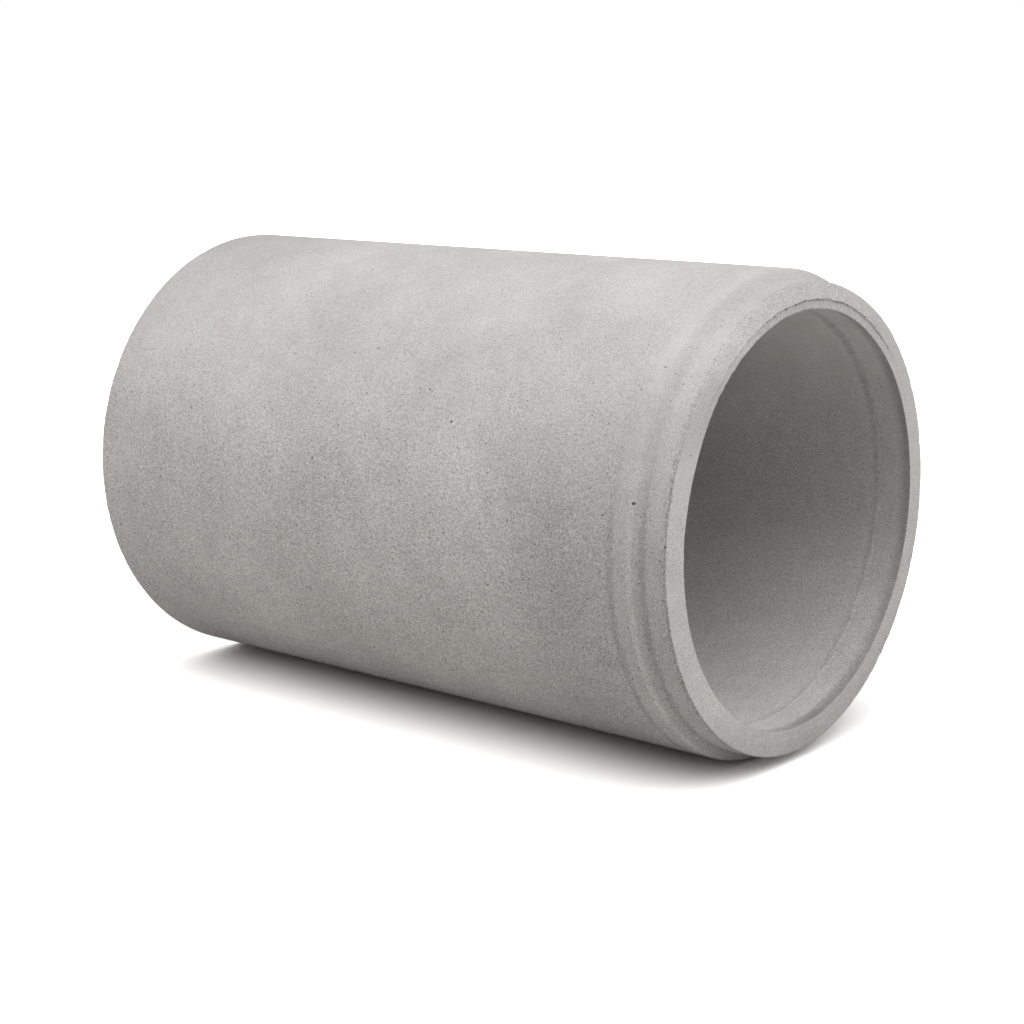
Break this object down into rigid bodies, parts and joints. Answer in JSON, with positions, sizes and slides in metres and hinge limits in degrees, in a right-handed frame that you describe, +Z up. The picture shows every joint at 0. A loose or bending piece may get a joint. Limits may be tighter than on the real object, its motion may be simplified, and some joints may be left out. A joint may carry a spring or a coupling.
{
  "type": "concrete sewer pipe",
  "caption": "Straight round concrete sewer pipe with a flush rebated joint: a stepped spigot at one end and a matching socket inside the wall at the other.",
  "frame": {"origin": "on the ground under the middle of the pipe's length, with the pipe lying on its side", "axes": "+X along the pipe's axis towards the spigot, +Z up"},
  "size_m": [1, 0.6399, 0.64],
  "materials": {
    "concrete": "matt vibrated cast concrete, light warm grey"
  },
  "bodies": {
    "root": {"concrete_pipe": "concrete"}
  },
  "joints": []
}
